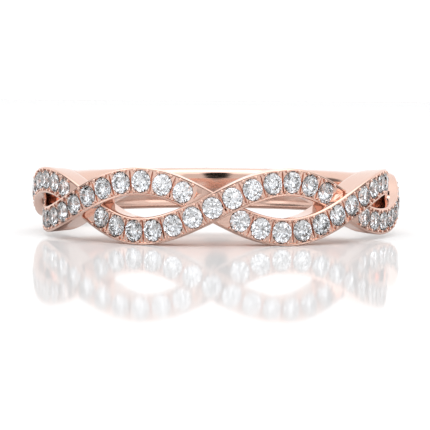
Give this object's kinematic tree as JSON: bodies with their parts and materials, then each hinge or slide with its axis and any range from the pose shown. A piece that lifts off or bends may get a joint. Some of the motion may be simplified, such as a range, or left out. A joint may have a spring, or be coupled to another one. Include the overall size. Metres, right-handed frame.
{
  "type": "infinity ring",
  "caption": "Half-eternity finger ring of two interlaced strands set with small round stones, running into a plain round shank.",
  "frame": {"origin": "on the finger's axis, level with the lowest dips of the strands that the ring lies on", "axes": "+Z along the finger, up from the surface that the ring lies on; -Y towards the middle of the set front; +X to the right of it"},
  "size_m": [0.0206, 0.0206, 0.004],
  "materials": {
    "rose_gold": "polished rose gold",
    "white_stone": "colourless faceted stone"
  },
  "bodies": {
    "root": {"ring_body": "rose_gold", "stones_first_strand": "white_stone", "stones_second_strand": "white_stone"}
  },
  "joints": []
}
